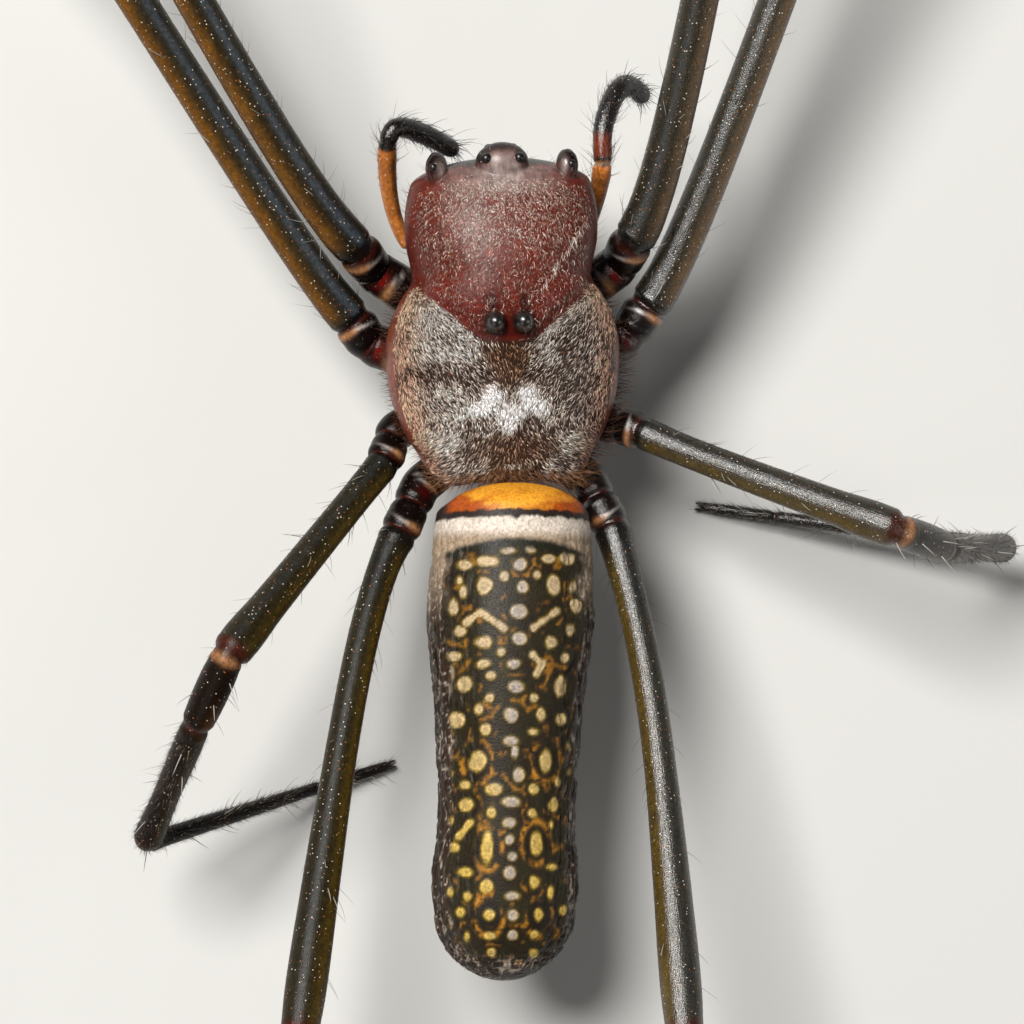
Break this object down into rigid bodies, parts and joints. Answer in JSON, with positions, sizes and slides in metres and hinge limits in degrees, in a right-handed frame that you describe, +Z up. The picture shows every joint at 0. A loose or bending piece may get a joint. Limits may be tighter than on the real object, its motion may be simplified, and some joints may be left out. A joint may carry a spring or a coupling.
{
  "type": "golden silk orb weaver spider model",
  "caption": "Life-size still model of a large female orb weaver: horned red head, long spotted cylindrical abdomen and long slender legs standing on small flat feet.",
  "frame": {"origin": "on the floor plane, under the middle of the whole animal", "axes": "+Z up, -Y towards the head, +X towards the animal's own left side"},
  "size_m": [0.0764, 0.1238, 0.0178],
  "materials": {
    "carapace_cuticle": "dark red-brown cuticle under short silver-pink hair",
    "horn_cuticle": "glossy black",
    "eye_lens": "glossy black domed lens",
    "sternum_cuticle": "brown cuticle with sparse hair",
    "joint_membrane": "red-brown membrane",
    "abdomen_skin": "olive-black wrinkled skin with cream and yellow spots",
    "chelicera_cuticle": "glossy black-brown",
    "palp_cuticle": "amber cuticle",
    "palp_end_cuticle": "black hairy cuticle",
    "hip_cuticle": "black cuticle with dark red membrane",
    "femur_cuticle": "olive-brown semi-gloss cuticle with fine flat hair",
    "patella_cuticle": "dark brown semi-gloss cuticle",
    "tibia_cuticle": "dark brown cuticle, red-brown at the far end",
    "foot_cuticle": "black-brown bristly cuticle"
  },
  "bodies": {
    "root": {"abdomen": "abdomen_skin", "carapace": "carapace_cuticle", "chelicera_left": "chelicera_cuticle", "chelicera_right": "chelicera_cuticle", "eye_front_middle_left": "eye_lens", "eye_front_middle_right": "eye_lens", "eye_front_side_left": "eye_lens", "eye_front_side_right": "eye_lens", "eye_rear_middle_left": "eye_lens", "eye_rear_middle_right": "eye_lens", "eye_rear_side_left": "eye_lens", "eye_rear_side_right": "eye_lens", "femur_1_left": "femur_cuticle", "femur_1_right": "femur_cuticle", "femur_2_left": "femur_cuticle", "femur_2_right": "femur_cuticle", "femur_3_left": "femur_cuticle", "femur_3_right": "femur_cuticle", "femur_4_left": "femur_cuticle", "femur_4_right": "femur_cuticle", "foot_1_left": "foot_cuticle", "foot_1_right": "foot_cuticle", "foot_2_left": "foot_cuticle", "foot_2_right": "foot_cuticle", "foot_3_left": "foot_cuticle", "foot_3_right": "foot_cuticle", "foot_4_left": "foot_cuticle", "foot_4_right": "foot_cuticle", "hip_1_left": "hip_cuticle", "hip_1_right": "hip_cuticle", "hip_2_left": "hip_cuticle", "hip_2_right": "hip_cuticle", "hip_3_left": "hip_cuticle", "hip_3_right": "hip_cuticle", "hip_4_left": "hip_cuticle", "hip_4_right": "hip_cuticle", "horn_left": "horn_cuticle", "horn_right": "horn_cuticle", "palp_lower_left": "palp_end_cuticle", "palp_lower_right": "palp_end_cuticle", "palp_upper_left": "palp_cuticle", "palp_upper_right": "palp_cuticle", "patella_1_left": "patella_cuticle", "patella_1_right": "patella_cuticle", "patella_2_left": "patella_cuticle", "patella_2_right": "patella_cuticle", "patella_3_left": "patella_cuticle", "patella_3_right": "patella_cuticle", "patella_4_left": "patella_cuticle", "patella_4_right": "patella_cuticle", "pedicel": "joint_membrane", "sternum": "sternum_cuticle", "tibia_1_left": "tibia_cuticle", "tibia_1_right": "tibia_cuticle", "tibia_2_left": "tibia_cuticle", "tibia_2_right": "tibia_cuticle", "tibia_3_left": "tibia_cuticle", "tibia_3_right": "tibia_cuticle", "tibia_4_left": "tibia_cuticle", "tibia_4_right": "tibia_cuticle"}
  },
  "joints": []
}
